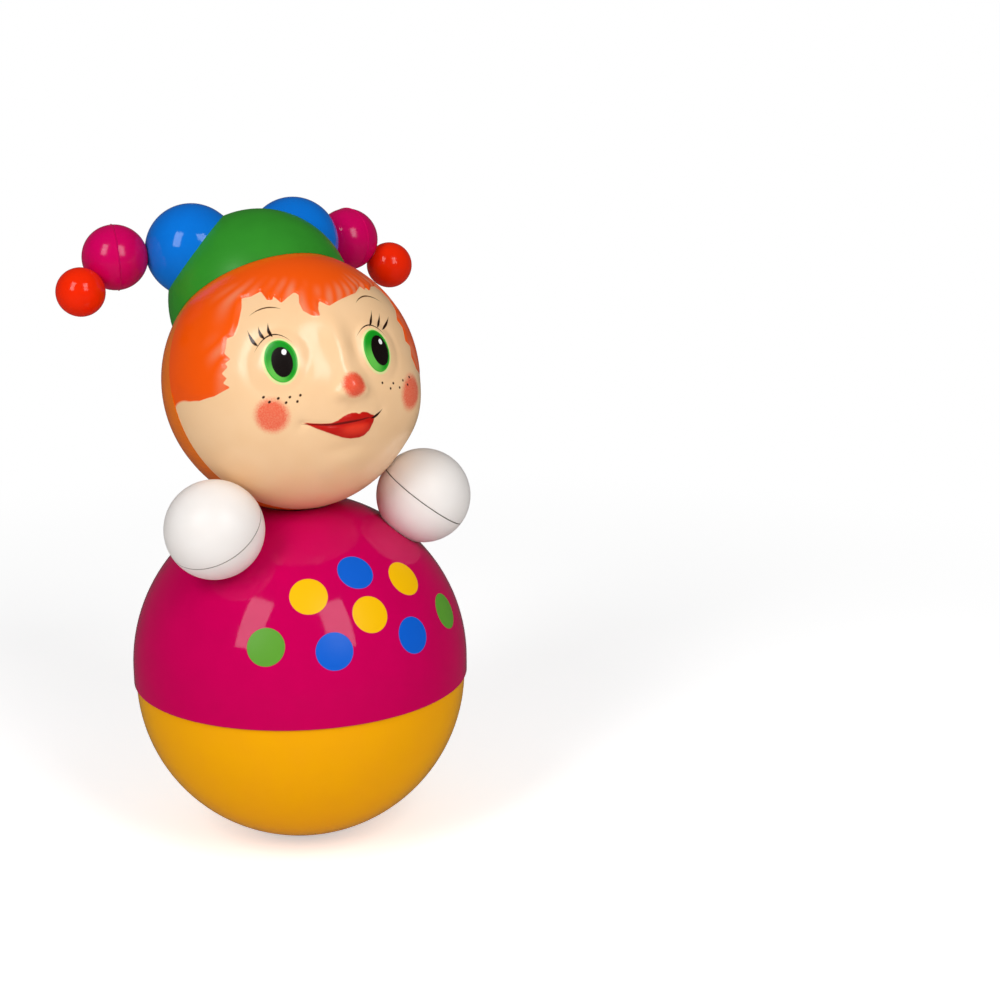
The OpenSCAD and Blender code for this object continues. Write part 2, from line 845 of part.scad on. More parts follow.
module ball_outer(s) {
    color(magenta) difference() {
        union() {
            at_ball(s) rotate_extrude() {
                rebate_half(ball_r, ball_wall);
                intersection() {
                    seam_mark(ball_r, ball_bead, 2 * ball_bead);
                    square(2 * ball_r);
                }
            }
            in_head() translate(ball_c(s)) aim(tip_dir(s)) intersection() {
                translate([0, 0, ball_r - peg_hold]) cylinder(r = tip_peg_r + socket_wall, h = peg_hold);
                sphere(ball_r - ball_wall / 2);
            }
        }
        in_head() translate(ball_c(s)) aim(tip_dir(s)) translate([0, 0, ball_r - peg_hold - over])
            cylinder(r = tip_peg_r + press_gap, h = 2 * peg_hold);
    }
}

module tip_peg(s) {
    color(ivory) in_head() translate(ball_c(s)) aim(tip_dir(s))
        peg(tip_peg_r, ball_r - peg_hold, ball_r + peg_hold);
}

module tip_inner(s) {
    color(red) at_tip(s) rotate_extrude() difference() {
        union() {
            lip_half(tip_r, ball_wall);
            peg_socket(tip_r, tip_peg_r, ball_r - tip_reach);
        }
        translate([0, -tip_reach]) circle(ball_r + fit_gap);
        translate([0, -tip_reach]) square([tip_peg_r + press_gap, tip_reach]);
    }
}

module tip_outer(s) {
    color(red) at_tip(s) rotate_extrude() rebate_half(tip_r, ball_wall);
}

// Hands
module hand_inner(s) {
    color(white) at_hand(s) rotate_extrude() difference() {
        union() {
            lip_half(hand_r, hand_wall);
            intersection() {
                translate([0, -hand_r]) square([hand_pin_r + socket_wall, hand_socket_h]);
                circle(hand_r - hand_wall / 2);
            }
        }
        seam_mark(hand_r, seam_groove, seam_groove_w);
        translate([0, -hand_r]) square([hand_pin_r + press_gap, hand_r]);
    }
}

module hand_outer(s) {
    color(white) at_hand(s) rotate_extrude() difference() {
        rebate_half(hand_r, hand_wall);
        seam_mark(hand_r, seam_groove, seam_groove_w);
    }
}

module hand_pin(s) {
    head_low = hand_socket_h - hand_r;
    color(ivory) at_hand(s) {
        translate([0, 0, hand_pin_end]) cylinder(r = hand_pin_r, h = head_low - hand_pin_end);
        translate([0, 0, head_low]) cylinder(r = hand_pin_r + socket_wall, h = hand_pin_head_h);
    }
}

module hand_clip(s) {
    color(steel) at_hand(s) translate([0, 0, hand_clip_z]) difference() {
        cylinder(r = hand_pin_r + hand_clip_w, h = hand_clip_h);
        translate([0, 0, -over]) cylinder(r = hand_pin_r + press_gap, h = hand_clip_h + 2 * over);
    }
}

lower_shell();
upper_shell();
ballast_weight();
ballast_washer();
ballast_screw();
chime_base();
chime_screws();
for (i = [1:ROD_COUNT]) chime_rod(i);
hammer_bridge();
bridge_screws();
link_pin();
hammer_link();
hammer_pin();
hammer_rod();
hammer_bob();
head_front();
head_back();
neck_plug();
neck_ring();
cap();
horn_screws();
horn_dome(1);  // left_horn_dome
horn_dome(-1);  // right_horn_dome
ball_peg(1);  // left_ball_peg
ball_peg(-1);  // right_ball_peg
ball_inner(1);  // left_ball_inner
ball_inner(-1);  // right_ball_inner
ball_outer(1);  // left_ball_outer
ball_outer(-1);  // right_ball_outer
tip_peg(1);  // left_tip_peg
tip_peg(-1);  // right_tip_peg
tip_inner(1);  // left_tip_inner
tip_inner(-1);  // right_tip_inner
tip_outer(1);  // left_tip_outer
tip_outer(-1);  // right_tip_outer
hand_inner(1);  // left_hand_inner
hand_inner(-1);  // right_hand_inner
hand_outer(1);  // left_hand_outer
hand_outer(-1);  // right_hand_outer
hand_pin(1);  // left_hand_pin
hand_pin(-1);  // right_hand_pin
hand_clip(1);  // left_hand_clip
hand_clip(-1);  // right_hand_clip
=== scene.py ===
# Roly-poly clown doll: sculpted and painted face, moulded plastic finishes and a studio round the model
import math
import bpy
import numpy as np
from mathutils import Matrix, Vector


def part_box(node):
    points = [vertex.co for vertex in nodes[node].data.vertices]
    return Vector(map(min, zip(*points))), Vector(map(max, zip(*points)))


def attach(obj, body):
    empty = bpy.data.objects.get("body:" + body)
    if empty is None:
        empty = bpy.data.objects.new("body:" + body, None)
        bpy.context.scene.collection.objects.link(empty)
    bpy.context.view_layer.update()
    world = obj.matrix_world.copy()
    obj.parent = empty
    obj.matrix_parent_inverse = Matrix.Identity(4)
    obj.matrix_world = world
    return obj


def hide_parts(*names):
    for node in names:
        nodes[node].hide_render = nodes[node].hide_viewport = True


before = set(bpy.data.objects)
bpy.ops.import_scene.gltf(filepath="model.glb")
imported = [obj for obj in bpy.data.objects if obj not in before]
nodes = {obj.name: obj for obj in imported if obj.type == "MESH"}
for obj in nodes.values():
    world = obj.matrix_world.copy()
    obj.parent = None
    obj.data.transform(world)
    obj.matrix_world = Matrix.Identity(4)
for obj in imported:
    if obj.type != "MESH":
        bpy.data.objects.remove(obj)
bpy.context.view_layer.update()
mm = 0.001
print("frame loaded:", len(nodes), "nodes")

# Main sizes of the doll in millimetres, as the frame has them
doll = {
    "bodyRadius": 62.5,
    "beltHeight": 5.4,  # straight belt between the seam and the round top
    "headRadius": 46.4,
    "headSink": 3.4,  # how deep the head sits in the body
    "headTilt": 34.7,  # degrees that the face looks up
    "headWall": 2.0,
    "maskEdge": 1.0,  # the mask ends this far behind the middle of the head
    "maskLean": 14.0,  # degrees that the mask's edge leans back less than the face
    "hairThickness": 0.4,
    "hairLift": 1.1,  # the hair is thicker towards the cap
    "handCentre": (42.65, 20.34, 128.01),  # sideways, forwards and up
    "handWay": (0.5510, 0.2628, 0.7920),  # way that the hands point, square to their seam
}
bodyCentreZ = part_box("upper_shell")[0].z / mm + doll["beltHeight"]
headCentreZ = bodyCentreZ + doll["bodyRadius"] + doll["headRadius"] - doll["headSink"]
headLean = Matrix.Rotation(-math.radians(doll["headTilt"]), 4, "X")
headPlace = Matrix.Translation((0, 0, headCentreZ * mm)) @ headLean


def srgb(hexColour):
    parts = [int(hexColour[i:i + 2], 16) / 255 for i in (1, 3, 5)]
    return [p / 12.92 if p <= 0.04045 else ((p + 0.055) / 1.055) ** 2.4 for p in parts] + [1]


# Way to a point so many degrees round from the front and up
def wayTo(azimuth, elevation):
    around = math.radians(azimuth)
    up = math.radians(elevation)
    return Vector((math.sin(around) * math.cos(up), -math.cos(around) * math.cos(up), math.sin(up)))


def addNode(tree, kind, settings={}, inputs={}):
    node = tree.nodes.new("ShaderNode" + kind)
    for name, value in settings.items():
        setattr(node, name, value)
    for name, value in inputs.items():
        if isinstance(value, bpy.types.NodeSocket):
            tree.links.new(value, node.inputs[name])
        else:
            node.inputs[name].default_value = value
    return node


def newMaterial(name):
    material = bpy.data.materials.new(name)
    material.use_nodes = True
    tree = material.node_tree
    tree.nodes.clear()
    shader = addNode(tree, "BsdfPrincipled")
    addNode(tree, "OutputMaterial", {}, {"Surface": shader.outputs[0]})
    place = addNode(tree, "TexCoord").outputs["Object"]
    return material, tree, shader, place


# Moulded, polished ABS: a clear deep colour under a hard gloss, with the faint waviness of a mould
mouldedAbs = {
    "waveSize": 9.0,  # mm between the swells of the moulded surface
    "waveHeight": 0.008,  # mm
    "waveSpan": (0.15, 0.85),  # low and high of the swells' pattern
    "grainSize": 0.7,  # mm, the fine orange peel
    "grainHeight": 0.0012,  # mm, so slight that it only softens the edges of reflections
    "roughSpread": 0.03,  # how far the roughness strays from swell to swell
    "toneShare": 0.35,  # how much of the deeper tone the swells reach
    "ior": 1.53,
    "gloss": 0.22,  # matched to the faint reflections that the doll shows
    "shellGloss": 0.13,  # the two large shells show fainter ones
}

# Colour, deeper tone and roughness of each plastic
plastics = {
    "magentaAbsSpotted": ("#D00058", "#C40052", 0.07),  # glassy dome
    "yellowAbs": ("#FFB200", "#FDAA00", 0.16),
    "greenAbs": ("#329428", "#288420", 0.36),  # satin cap
    "blueAbs": ("#0A76DC", "#0868CC", 0.1),
    "magentaAbs": ("#D4005E", "#C40054", 0.16),
    "redAbs": ("#F82A04", "#EA2200", 0.13),
    "whitePolyethylene": ("#FBF6F2", "#F4ECE6", 0.34),  # warm white, a little waxy
    "orangeAbs": ("#F47A14", "#EC7210", 0.2),
    "ivoryAcetal": ("#E8E2D2", "#DDD5C2", 0.35),  # dull ivory of the hidden fittings
}


def addMouldedSurface(tree, shader, place, roughness, spread, gloss):
    wave = addNode(tree, "TexNoise", {}, {
        "Vector": place, "Scale": 1 / (mouldedAbs["waveSize"] * mm), "Detail": 1.0,
    }).outputs[0]
    grain = addNode(tree, "TexNoise", {}, {
        "Vector": place, "Scale": 1 / (mouldedAbs["grainSize"] * mm), "Detail": 2.0,
    }).outputs[0]
    swell = addNode(tree, "Bump", {}, {"Height": wave, "Distance": mouldedAbs["waveHeight"] * mm})
    peel = addNode(tree, "Bump", {}, {
        "Height": grain, "Distance": mouldedAbs["grainHeight"] * mm, "Normal": swell.outputs[0],
    })
    low, high = mouldedAbs["waveSpan"]
    rough = addNode(tree, "MapRange", {"interpolation_type": "SMOOTHSTEP"}, {
        "Value": wave, "From Min": low, "From Max": high,
        "To Min": roughness - spread, "To Max": roughness + spread,
    })
    tree.links.new(rough.outputs[0], shader.inputs["Roughness"])
    tree.links.new(peel.outputs[0], shader.inputs["Normal"])
    shader.inputs["IOR"].default_value = mouldedAbs["ior"]
    shader.inputs["Specular IOR Level"].default_value = gloss
    return wave


def addTone(tree, wave, share, colour, deeper):
    low, high = mouldedAbs["waveSpan"]
    tone = addNode(tree, "MapRange", {"interpolation_type": "SMOOTHSTEP"}, {
        "Value": wave, "From Min": low, "From Max": high, "To Max": share,
    })
    mix = addNode(tree, "Mix", {"data_type": "RGBA"}, {0: tone.outputs[0], 6: srgb(colour), 7: srgb(deeper)})
    return mix.outputs[2]


def absMaterial(name, spread=mouldedAbs["roughSpread"], gloss=mouldedAbs["gloss"]):
    colour, deeper, roughness = plastics[name]
    material, tree, shader, place = newMaterial(name)
    wave = addMouldedSurface(tree, shader, place, roughness, spread, gloss)
    tone = addTone(tree, wave, mouldedAbs["toneShare"], colour, deeper)
    tree.links.new(tone, shader.inputs["Base Color"])
    return material


# Spots printed on the round front of the body: satin ink that breaks the shell's gloss
spots = {
    "radius": 6.7,
    "edge": 0.12,  # mm of softness at the rim of the ink
    "inkHeight": 0.03,  # mm
    "inkRoughness": 0.34,
    "yellow": "#FFC400",
    "blue": "#0A62D6",
    "green": "#62A634",
    # degrees round from the front and up from the middle of the round top, and the ink
    "places": [
        (0, 45.3, "blue"), (0, 30.2, "yellow"),
        (-23.3, 38.7, "yellow"), (23.3, 38.7, "yellow"),
        (-15.7, 20.1, "blue"), (15.7, 20.1, "blue"),
        (-39.2, 22.3, "green"), (39.2, 22.3, "green"),
    ],
}


def spottedShellMaterial(name):
    material = absMaterial(name, gloss=mouldedAbs["shellGloss"])
    tree = material.node_tree
    shader = tree.nodes["Principled BSDF"]
    place = tree.nodes["Texture Coordinate"].outputs["Object"]
    paint = shader.inputs["Base Color"].links[0].from_socket
    gloss = shader.inputs["Roughness"].links[0].from_socket
    normal = shader.inputs["Normal"].links[0].from_socket
    size = spots["radius"] * mm
    edge = spots["edge"] / spots["radius"]
    ink = 0.0
    for turn, rise, tint in spots["places"]:
        point = wayTo(turn, rise) * doll["bodyRadius"] + Vector((0, 0, bodyCentreZ))
        local = addNode(tree, "Mapping", {"vector_type": "TEXTURE"}, {
            "Vector": place, "Location": point * mm, "Scale": (size, size, size),
        })
        reach = addNode(tree, "VectorMath", {"operation": "LENGTH"}, {0: local.outputs[0]})
        mask = addNode(tree, "MapRange", {}, {
            "Value": reach.outputs["Value"], "From Min": 1 + edge, "From Max": 1 - edge,
        }).outputs[0]
        mix = addNode(tree, "Mix", {"data_type": "RGBA"}, {0: mask, 6: paint, 7: srgb(spots[tint])})
        paint = mix.outputs[2]
        ink = addNode(tree, "Math", {"operation": "MAXIMUM"}, {0: ink, 1: mask}).outputs[0]
    satin = addNode(tree, "Mix", {}, {0: ink, 2: gloss, 3: spots["inkRoughness"]})
    raised = addNode(tree, "Bump", {}, {"Height": ink, "Distance": spots["inkHeight"] * mm, "Normal": normal})
    tree.links.new(paint, shader.inputs["Base Color"])
    tree.links.new(satin.outputs[0], shader.inputs["Roughness"])
    tree.links.new(raised.outputs[0], shader.inputs["Normal"])
    return material


# Dust and painted shade along the fine slit where the two halves of a hand meet, in mm
handSeam = {"halfWidth": 0.13, "fade": 0.16, "colour": "#A09890", "roughSpread": 0.05}


def seamedHandMaterial(name):
    material = absMaterial(name, spread=handSeam["roughSpread"])
    tree = material.node_tree
    shader = tree.nodes["Principled BSDF"]
    place = tree.nodes["Texture Coordinate"].outputs["Object"]
    bare = shader.inputs["Base Color"].links[0].from_socket
    middle = Vector(doll["handCentre"]) * mm
    folded = addNode(tree, "VectorMath", {"operation": "ABSOLUTE"}, {0: place}).outputs[0]  # both hands alike
    away = addNode(tree, "VectorMath", {"operation": "SUBTRACT"}, {0: folded, 1: middle}).outputs[0]
    height = addNode(tree, "VectorMath", {"operation": "DOT_PRODUCT"}, {0: away, 1: doll["handWay"]})
    beside = addNode(tree, "Math", {"operation": "ABSOLUTE"}, {0: height.outputs["Value"]}).outputs[0]
    # a darker line at the seam: dust and painted shade
    line = addNode(tree, "MapRange", {}, {
        "Value": beside, "From Min": (handSeam["halfWidth"] + handSeam["fade"]) * mm,
        "From Max": handSeam["halfWidth"] * mm,
    }).outputs[0]
    mix = addNode(tree, "Mix", {"data_type": "RGBA"}, {0: line, 6: bare, 7: srgb(handSeam["colour"])})
    tree.links.new(mix.outputs[2], shader.inputs["Base Color"])
    return material


# Sand-cast iron: dark grey, rough and grainy all over
ironLook = {
    "grainSize": 1.2,  # mm
    "grainHeight": 0.15,  # mm
    "dark": "#3A3A3C",
    "pale": "#5E5C5A",
    "metallic": 0.85,
    "roughness": 0.62,
}


def castIronMaterial():
    material, tree, shader, place = newMaterial("castIron")
    grain = addNode(tree, "TexNoise", {}, {
        "Vector": place, "Scale": 1 / (ironLook["grainSize"] * mm), "Detail": 4.0,
    }).outputs[0]
    colour = addNode(tree, "Mix", {"data_type": "RGBA"}, {
        0: grain, 6: srgb(ironLook["dark"]), 7: srgb(ironLook["pale"]),
    })
    bump = addNode(tree, "Bump", {}, {"Height": grain, "Distance": ironLook["grainHeight"] * mm})
    tree.links.new(colour.outputs[2], shader.inputs["Base Color"])
    tree.links.new(bump.outputs[0], shader.inputs["Normal"])
    shader.inputs["Metallic"].default_value = ironLook["metallic"]
    shader.inputs["Roughness"].default_value = ironLook["roughness"]
    return material


# Zinc-plated steel: bright and slightly cloudy, with fine drawing lines
steelLook = {
    "colour": "#C4C8CC",
    "cloudSize": 4.0,  # mm
    "roughness": (0.22, 0.42),  # from cloud to cloud
    "lineSize": 0.4,  # mm
    "lineHeight": 0.004,  # mm
}


def platedSteelMaterial():
    material, tree, shader, place = newMaterial("zincPlatedSteel")
    cloud = addNode(tree, "TexNoise", {}, {
        "Vector": place, "Scale": 1 / (steelLook["cloudSize"] * mm), "Detail": 3.0,
    }).outputs[0]
    lines = addNode(tree, "TexNoise", {}, {
        "Vector": place, "Scale": 1 / (steelLook["lineSize"] * mm), "Detail": 2.0,
    }).outputs[0]
    low, high = steelLook["roughness"]
    rough = addNode(tree, "MapRange", {}, {"Value": cloud, "To Min": low, "To Max": high})
    bump = addNode(tree, "Bump", {}, {"Height": lines, "Distance": steelLook["lineHeight"] * mm})
    tree.links.new(rough.outputs[0], shader.inputs["Roughness"])
    tree.links.new(bump.outputs[0], shader.inputs["Normal"])
    shader.inputs["Base Color"].default_value = srgb(steelLook["colour"])
    shader.inputs["Metallic"].default_value = 1.0
    return material


# Turned beech: pale brown with short darker flecks along the grain
beechLook = {
    "fleckSize": (0.8, 0.8, 6.0),  # mm, longest along the grain
    "fleckHeight": 0.02,  # mm
    "pale": "#E0BC8C",
    "dark": "#B98A58",
    "roughness": 0.48,
}


def beechMaterial():
    material, tree, shader, place = newMaterial("turnedBeech")
    along = addNode(tree, "Mapping", {}, {
        "Vector": place, "Scale": [1 / (size * mm) for size in beechLook["fleckSize"]],
    })
    fleck = addNode(tree, "TexNoise", {}, {
        "Vector": along.outputs[0], "Scale": 1.0, "Detail": 3.0,
    }).outputs[0]
    colour = addNode(tree, "Mix", {"data_type": "RGBA"}, {
        0: fleck, 6: srgb(beechLook["pale"]), 7: srgb(beechLook["dark"]),
    })
    bump = addNode(tree, "Bump", {}, {"Height": fleck, "Distance": beechLook["fleckHeight"] * mm})
    tree.links.new(colour.outputs[2], shader.inputs["Base Color"])
    tree.links.new(bump.outputs[0], shader.inputs["Normal"])
    shader.inputs["Roughness"].default_value = beechLook["roughness"]
    return material


# Which finish each CAD piece has
magentaShell = spottedShellMaterial("magentaAbsSpotted")
yellowShell = absMaterial("yellowAbs", gloss=mouldedAbs["shellGloss"])
greenCap = absMaterial("greenAbs")
blueDome = absMaterial("blueAbs")
magentaBall = absMaterial("magentaAbs")
redTip = absMaterial("redAbs")
whiteHand = seamedHandMaterial("whitePolyethylene")
hairBack = absMaterial("orangeAbs")
ivoryPlastic = absMaterial("ivoryAcetal")
castIron = castIronMaterial()
platedSteel = platedSteelMaterial()
beech = beechMaterial()

finishes = {
    "lower_shell": yellowShell,
    "upper_shell": magentaShell,
    "head_back": hairBack,
    "cap": greenCap,
    "horn_dome": blueDome,
    "ball_inner": magentaBall,
    "ball_outer": magentaBall,
    "tip_inner": redTip,
    "tip_outer": redTip,
    "hand_inner": whiteHand,
    "hand_outer": whiteHand,
    "ballast_weight": castIron,
    "hammer_bob": beech,
    "chime_base": ivoryPlastic,
    "hammer_link": ivoryPlastic,
    "neck_plug": ivoryPlastic,
    "ball_peg": ivoryPlastic,
    "tip_peg": ivoryPlastic,
    "hand_pin": ivoryPlastic,
}
for name, piece in nodes.items():
    plain = name.removeprefix("left_").removeprefix("right_")
    piece.data.materials.clear()
    piece.data.materials.append(finishes.get(plain, platedSteel))
print("finishes given to the CAD pieces")

# Sculpted front of the head, in millimetres in the head's own axes: x to the doll's left, y back, z up
face = {
    "cells": 144,  # faces along a quarter turn of the outside
    "innerCells": 40,
    "smoothAngle": 50,  # degrees up to which edges are shaded smooth
    "front": (2, 14),  # mm before the middle over which the sculpting comes in
    "hairOutline": [
        (-90, 90), (-90, 1.4), (-46.8, 1.4), (-46.4, -2.7), (-45.3, -5.8), (-43.8, -8.0), (-41.0, -9.6),
        (-37.3, -9.7), (-38.9, -7.2), (-37.8, -6.4), (-38.7, -4.0), (-37.0, -2.9), (-37.4, -1.4),
        (-35.9, -0.8), (-36.8, 1.9), (-34.9, 6.8), (-33.2, 6.6), (-31.1, 9.8), (-28.0, 15.8),
        (-26.3, 20.0), (-24.0, 19.2), (-20.5, 20.0), (-20.4, 15.4), (-19.0, 14.8), (-18.0, 16.2),
        (-17.0, 12.4), (-14.5, 14.0), (-11.3, 15.7), (-10.4, 14.1), (-11.6, 10.7), (-11.5, 7.4),
        (-9.2, 4.8), (-6.6, 4.2), (-6.3, 7.0), (-4.9, 10.0), (-2.1, 7.4), (3.2, 9.7), (11.2, 12.7),
        (15.7, 16.6), (16.9, 14.9), (18.3, 16.5), (19.5, 15.0), (22.2, 17.8), (26.0, 19.4),
        (30.4, 18.4), (31.9, 15.0), (31.0, 9.2), (28.2, 4.0), (30.3, 1.4), (29.2, -4.2), (32.1, -5.3),
        (30.9, -9.4), (33.2, -13.0), (37.0, -13.0), (40.5, -11.0), (43.4, -8.0), (45.3, -4.5),
        (46.3, -1.0), (46.8, 2.0), (90, 2.0), (90, 90),
    ],
    "hairEdge": (-0.15, 1.1),  # mm from the outline over which the hair rises from the skin
    "crown": (3.0, 46.0),  # x and z of the point that the locks run from
    "lockTurn": 6.4,  # degrees from lock to lock
    "lockDepth": 0.08,
    "lockReach": (2, 8.5),  # mm from the hair's edge over which the locks fade
    "lockSides": (37, 42),  # mm out from the middle over which they fade at the temples
    # degrees, mm up and mm across of the waves that make the locks sway
    "lockSways": [(1.6, 4.1, 9.0), (1.1, -7.7, 5.3)],
    # some locks get more of the painted sheen: share, and degrees and mm of the waves it follows
    "clump": {"mean": 0.55, "swing": 0.45, "turn": 6.3, "bend": 2.2, "bendTurn": 9.7, "bendRise": 6.0},
    "lipOutline": [
        (-18.6, -28.3), (-14.6, -29.5), (-11.4, -30.3), (-8.6, -30.7), (-6.4, -30.3), (-4.1, -29.3),
        (-1.4, -28.8), (0.5, -28.9), (1.7, -29.4), (2.9, -28.9), (5.1, -29.1), (6.8, -29.8),
        (8.8, -30.2), (7.8, -32.0), (6.4, -34.0), (4.5, -35.2), (2.4, -35.7), (-0.9, -35.7),
        (-4.0, -35.1), (-7.1, -34.0), (-10.0, -32.8), (-13.2, -31.3), (-16.3, -29.6),
    ],
    "lipHeight": 0.9,
    "lipRound": 2.2,
    "mouthLine": [
        (-18.4, -28.5), (-10.7, -31.0), (-6.3, -31.5), (-2.3, -31.6), (1.9, -31.6), (5.2, -31.1),
        (8.3, -30.3),
    ],
    "mouthDepth": 0.55,
    "mouthWidth": 0.7,
    "eyes": [(-23.2, -7.3), (12.5, -9.2)],
    "eyeSize": (9.6, 11.2),
    "eyeBulge": 0.75,
    "eyeShoulder": 0.55,  # share of the eye over which it bulges
    "eyeFurrow": 0.16,
    "eyeFurrowWidth": 0.13,  # share of the eye
    # x, z, half width, half height and height of each soft swelling or hollow
    "swellings": [
        (-0.7, -21.0, 4.3, 3.9, 3.7),  # tip of the nose
        (-5.5, -22.5, 2.4, 2.0, 1.5),  # wings of the nose
        (3.6, -22.7, 2.4, 2.0, 1.5),
        (-2.6, -10.5, 3.6, 11.0, 1.3),  # bridge of the nose
        (-4.0, 9.0, 17.0, 9.0, 0.5),  # forehead
        (-10.4, -4.5, 4.2, 6.5, -0.9),  # hollows beside the bridge
        (4.0, -5.5, 4.0, 6.5, -0.9),
        (-27.0, -24.0, 9.5, 8.0, 0.9),  # cheeks
        (29.5, -23.0, 10.0, 9.0, 1.6),
        (-18.6, -29.0, 2.0, 2.0, -0.45),  # corners of the smile
        (11.6, -28.6, 2.0, 2.0, -0.45),
        (-0.9, -26.6, 1.7, 2.0, -0.3),  # groove under the nose
        (-0.6, -37.9, 7.5, 1.5, -0.4),  # hollow under the lips
        (-0.6, -41.0, 8.0, 2.6, 0.45),  # chin
    ],
}


def shellOfBall(name, cells):
    bpy.ops.object.select_all(action="DESELECT")
    bpy.ops.mesh.primitive_cube_add(size=2)
    shell = bpy.context.object
    shell.name = name
    bpy.ops.object.mode_set(mode="EDIT")
    bpy.ops.mesh.select_all(action="SELECT")
    bpy.ops.mesh.subdivide(number_cuts=cells - 1)
    bpy.ops.object.mode_set(mode="OBJECT")
    points = np.tan(pointsOf(shell) * math.pi / 4)  # even angles, so even faces on the ball
    movePoints(shell, points / np.linalg.norm(points, axis=1)[:, None] * doll["headRadius"])
    bpy.ops.object.mode_set(mode="EDIT")
    bpy.ops.mesh.select_all(action="SELECT")
    lean = math.radians(doll["maskLean"])
    back = Vector((0, math.cos(lean), math.sin(lean)))
    bpy.ops.mesh.bisect(plane_co=back * doll["maskEdge"], plane_no=back, clear_outer=True)
    bpy.ops.object.mode_set(mode="OBJECT")
    return shell


def pointsOf(piece):
    points = np.zeros(len(piece.data.vertices) * 3)
    piece.data.vertices.foreach_get("co", points)
    return points.reshape(-1, 3)


def movePoints(piece, points):
    piece.data.vertices.foreach_set("co", points.ravel())
    piece.data.update()


def distanceToLine(x, z, line):
    nearest = np.full(len(x), 1e9)
    for (ax, az), (bx, bz) in zip(line, line[1:]):
        dx = bx - ax
        dz = bz - az
        along = np.clip(((x - ax) * dx + (z - az) * dz) / (dx * dx + dz * dz), 0, 1)
        nearest = np.minimum(nearest, np.hypot(x - ax - along * dx, z - az - along * dz))
    return nearest


def depthInside(x, z, outline):
    closed = list(outline) + [outline[0]]
    inside = np.zeros(len(x), bool)
    for (ax, az), (bx, bz) in zip(closed, closed[1:]):
        if az == bz:
            continue
        crosses = (az > z) != (bz > z)
        inside ^= crosses & (x < ax + (z - az) * (bx - ax) / (bz - az))
    return np.where(inside, 1, -1) * distanceToLine(x, z, closed)


def smoothStep(value, low, high):
    t = np.clip((value - low) / (high - low), 0, 1)
    return t * t * (3 - 2 * t)


def sculptFace(shell):
    points = pointsOf(shell)
    radius = doll["headRadius"]
    x = points[:, 0]
    y = points[:, 1]
    z = points[:, 2]
    front = smoothStep(-y, *face["front"])
    height = np.zeros(len(points))
    for cx, cz, wide, tall, rise in face["swellings"]:
        height += rise * np.exp(-((x - cx) / wide) ** 2 - ((z - cz) / tall) ** 2)
    for cx, cz in face["eyes"]:
        ring = np.hypot((x - cx) / face["eyeSize"][0], (z - cz) / face["eyeSize"][1])
        height += face["eyeBulge"] * smoothStep(1 - ring, 0, face["eyeShoulder"])
        height -= face["eyeFurrow"] * np.exp(-((ring - 1) / face["eyeFurrowWidth"]) ** 2)
    lips = depthInside(x, z, face["lipOutline"])
    height += face["lipHeight"] * np.sqrt(np.clip(lips / face["lipRound"], 0, 1))
    seam = distanceToLine(x, z, face["mouthLine"])
    height -= face["mouthDepth"] * np.exp(-(seam / face["mouthWidth"]) ** 2)
    height *= front
    hair = depthInside(x, z, face["hairOutline"])
    up = z / radius
    lift = doll["hairLift"]
    hairRadius = lift * up + np.sqrt((radius + doll["hairThickness"]) ** 2 - lift ** 2 * (1 - up ** 2))
    turn = np.degrees(np.arctan2(x - face["crown"][0], face["crown"][1] - z))
    sway = sum(size * np.sin(z / tall + x / wide) for size, tall, wide in face["lockSways"])
    lock = 0.5 + 0.5 * np.cos(2 * math.pi * (turn + sway) / face["lockTurn"])
    clump = face["clump"]
    bend = clump["bend"] * np.sin(turn / clump["bendTurn"] + z / clump["bendRise"])
    catch = clump["mean"] + clump["swing"] * np.sin(turn / clump["turn"] + bend)
    inner = 1 - smoothStep(np.abs(x), *face["lockSides"])
    fade = front * (1 - smoothStep(hair, *face["lockReach"])) * inner
    relief = hairRadius - radius - face["lockDepth"] * fade * lock ** 2
    height += (relief - np.minimum(height, 0)) * smoothStep(hair, *face["hairEdge"])
    movePoints(shell, points * (1 + height / radius)[:, None])
    # hairSheen holds where the locks get the painted sheen, a painted highlight on the relief
    for name, values in (("hairEdge", hair), ("lipEdge", lips), ("hairSheen", lock * fade * catch)):
        layer = shell.data.attributes.new(name, "FLOAT", "POINT")
        layer.data.foreach_set("value", values.astype(np.float32))


def makeFaceMask():
    inner = shellOfBall("maskLining", face["innerCells"])
    movePoints(inner, pointsOf(inner) * (1 - doll["headWall"] / doll["headRadius"]))
    outer = shellOfBall("faceMask", face["cells"])
    sculptFace(outer)
    inner.select_set(True)
    bpy.context.view_layer.objects.active = outer
    bpy.ops.object.join()
    bpy.ops.object.mode_set(mode="EDIT")
    bpy.ops.mesh.select_all(action="DESELECT")
    bpy.ops.mesh.select_mode(type="EDGE")
    bpy.ops.mesh.select_non_manifold(
        use_wire=False, use_multi_face=False, use_non_contiguous=False, use_verts=False,
    )
    bpy.ops.mesh.bridge_edge_loops()
    bpy.ops.mesh.select_all(action="SELECT")
    bpy.ops.mesh.normals_make_consistent(inside=False)
    bpy.ops.object.mode_set(mode="OBJECT")
    outer.data.transform(headPlace @ Matrix.Scale(mm, 4))
    bpy.ops.object.shade_smooth_by_angle(angle=math.radians(face["smoothAngle"]))
    return outer


faceMask = makeFaceMask()
print("face sculpted:", len(faceMask.data.polygons), "faces")

